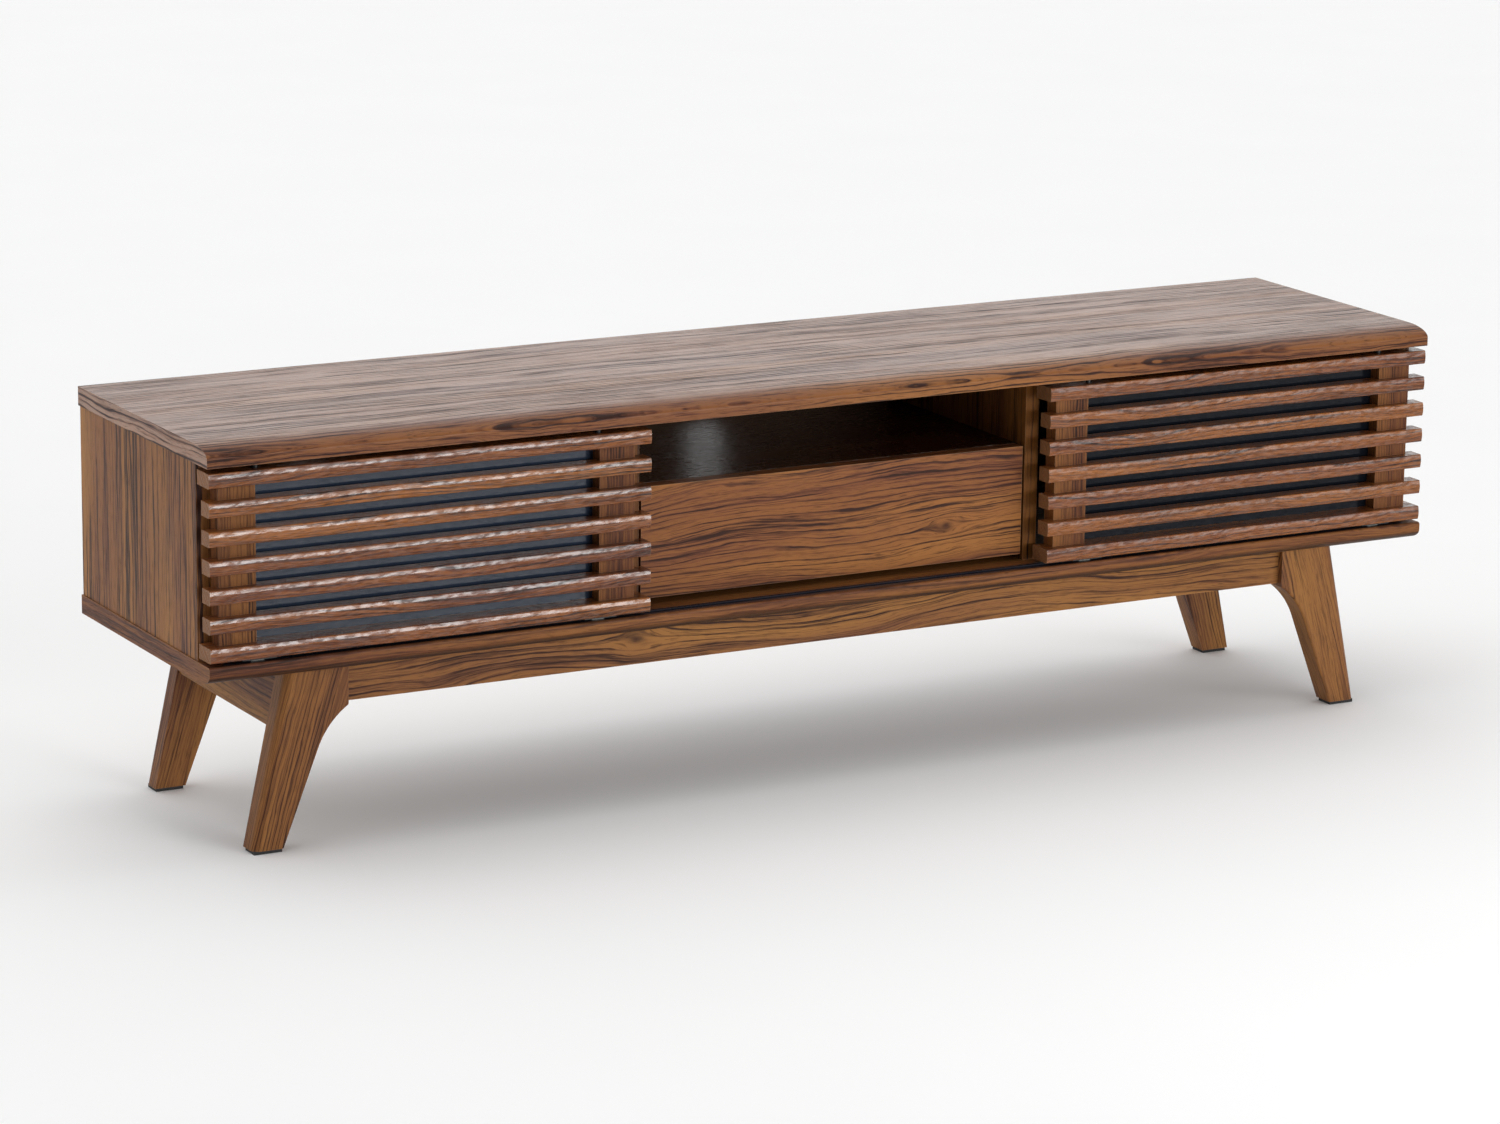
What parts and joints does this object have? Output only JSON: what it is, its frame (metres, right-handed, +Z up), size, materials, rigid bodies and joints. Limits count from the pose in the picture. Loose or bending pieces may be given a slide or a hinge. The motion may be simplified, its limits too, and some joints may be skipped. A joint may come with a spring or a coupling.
{
  "type": "media cabinet",
  "caption": "Low media cabinet with slatted sliding doors either side of an open niche and a drawer, on splayed curved legs.",
  "frame": {"origin": "middle of the footprint, on the floor", "axes": "+X along the length to the right as seen from the front, +Y to the back, +Z up"},
  "size_m": [1.6, 0.37, 0.47],
  "materials": {
    "walnut_slab": "semi-gloss wood-effect foil",
    "walnut_carcass": "satin wood-effect foil",
    "walnut_drawer_front": "semi-gloss wood-effect foil",
    "walnut_slat": "polished lacquer",
    "walnut_stile": "semi-gloss lacquer",
    "walnut_base": "satin lacquer",
    "plain_timber": "sawn",
    "drawer_board": "matt melamine",
    "backboard": "matt hardboard",
    "door_panel": "high gloss",
    "track_plastic": "satin",
    "black_plastic": "moulded",
    "roller_nylon": "smooth",
    "foot_pad": "matt",
    "steel": "zinc plated"
  },
  "bodies": {
    "carcass": {"back_apron": "walnut_base", "back_left_leg": "walnut_base", "back_panel": "backboard", "back_right_leg": "walnut_base", "bottom_panel": "walnut_slab", "cam_locks": "steel", "centre_shelf": "walnut_carcass", "corner_blocks": "plain_timber", "corner_bolts": "steel", "foot_pads": "foot_pad", "front_apron": "walnut_base", "front_left_leg": "walnut_base", "front_right_leg": "walnut_base", "left_apron": "walnut_base", "left_divider": "walnut_carcass", "left_side_panel": "walnut_carcass", "lower_track": "track_plastic", "right_apron": "walnut_base", "right_divider": "walnut_carcass", "right_side_panel": "walnut_carcass", "runner_rails": "steel", "top_panel": "walnut_slab", "upper_track": "track_plastic"},
    "left_door": {"left_door_bottom_rail": "walnut_slat", "left_door_fittings": "black_plastic", "left_door_inner_stile": "walnut_stile", "left_door_outer_stile": "walnut_stile", "left_door_panel": "door_panel", "left_door_slat_1": "walnut_slat", "left_door_slat_2": "walnut_slat", "left_door_slat_3": "walnut_slat", "left_door_slat_4": "walnut_slat", "left_door_slat_5": "walnut_slat", "left_door_top_rail": "walnut_slat"},
    "right_door": {"right_door_bottom_rail": "walnut_slat", "right_door_fittings": "black_plastic", "right_door_inner_stile": "walnut_stile", "right_door_outer_stile": "walnut_stile", "right_door_panel": "door_panel", "right_door_slat_1": "walnut_slat", "right_door_slat_2": "walnut_slat", "right_door_slat_3": "walnut_slat", "right_door_slat_4": "walnut_slat", "right_door_slat_5": "walnut_slat", "right_door_top_rail": "walnut_slat"},
    "drawer": {"drawer_back": "drawer_board", "drawer_bottom": "drawer_board", "drawer_front": "walnut_drawer_front", "drawer_left_side": "drawer_board", "drawer_right_side": "drawer_board", "drawer_slides": "steel"},
    "ball_cages": {"ball_cages": "steel"},
    "left_door_inner_guide_pin": {"left_door_inner_guide_pin": "black_plastic"},
    "left_door_inner_roller": {"left_door_inner_roller": "roller_nylon"},
    "left_door_outer_guide_pin": {"left_door_outer_guide_pin": "black_plastic"},
    "left_door_outer_roller": {"left_door_outer_roller": "roller_nylon"},
    "right_door_inner_guide_pin": {"right_door_inner_guide_pin": "black_plastic"},
    "right_door_inner_roller": {"right_door_inner_roller": "roller_nylon"},
    "right_door_outer_guide_pin": {"right_door_outer_guide_pin": "black_plastic"},
    "right_door_outer_roller": {"right_door_outer_roller": "roller_nylon"}
  },
  "joints": [
    {"name": "left_door_slide", "type": "slide", "parent": "carcass", "child": "left_door", "axis": [1, 0, 0], "range_m": [0, 0.262]},
    {"name": "right_door_slide", "type": "slide", "parent": "carcass", "child": "right_door", "axis": [-1, 0, 0], "range_m": [0, 0.262]},
    {"name": "drawer_slide", "type": "slide", "parent": "carcass", "child": "drawer", "axis": [0, 1, 0], "range_m": [-0.19, 0]},
    {"name": "ball_cage_slide", "type": "slide", "parent": "carcass", "child": "ball_cages", "axis": [0, 1, 0], "range_m": [-0.095, 0]},
    {"name": "left_door_outer_roller_spin", "type": "hinge", "parent": "left_door", "child": "left_door_outer_roller", "pos_m": [-0.738, -0.17, 0.2333], "axis": [0, 1, 0], "range_deg": [0, 1680]},
    {"name": "left_door_outer_guide_press", "type": "slide", "parent": "left_door", "child": "left_door_outer_guide_pin", "axis": [0, 0, 1], "range_m": [-0.005, 0], "stiffness_N_per_m": 150, "springref_m": 0.002},
    {"name": "left_door_inner_roller_spin", "type": "hinge", "parent": "left_door", "child": "left_door_inner_roller", "pos_m": [-0.323, -0.17, 0.2333], "axis": [0, 1, 0], "range_deg": [0, 1680]},
    {"name": "left_door_inner_guide_press", "type": "slide", "parent": "left_door", "child": "left_door_inner_guide_pin", "axis": [0, 0, 1], "range_m": [-0.005, 0], "stiffness_N_per_m": 150, "springref_m": 0.002},
    {"name": "right_door_outer_roller_spin", "type": "hinge", "parent": "right_door", "child": "right_door_outer_roller", "pos_m": [0.738, -0.17, 0.2333], "axis": [0, -1, 0], "range_deg": [0, 1680]},
    {"name": "right_door_outer_guide_press", "type": "slide", "parent": "right_door", "child": "right_door_outer_guide_pin", "axis": [0, 0, 1], "range_m": [-0.005, 0], "stiffness_N_per_m": 150, "springref_m": 0.002},
    {"name": "right_door_inner_roller_spin", "type": "hinge", "parent": "right_door", "child": "right_door_inner_roller", "pos_m": [0.323, -0.17, 0.2333], "axis": [0, -1, 0], "range_deg": [0, 1680]},
    {"name": "right_door_inner_guide_press", "type": "slide", "parent": "right_door", "child": "right_door_inner_guide_pin", "axis": [0, 0, 1], "range_m": [-0.005, 0], "stiffness_N_per_m": 150, "springref_m": 0.002}
  ],
  "couplings": [
    {"joint": "ball_cage_slide", "follows": "drawer_slide", "ratio": 0.5},
    {"joint": "left_door_outer_roller_spin", "follows": "left_door_slide", "rad_per_m": 111.11},
    {"joint": "left_door_inner_roller_spin", "follows": "left_door_slide", "rad_per_m": 111.11},
    {"joint": "right_door_outer_roller_spin", "follows": "right_door_slide", "rad_per_m": 111.11},
    {"joint": "right_door_inner_roller_spin", "follows": "right_door_slide", "rad_per_m": 111.11}
  ]
}
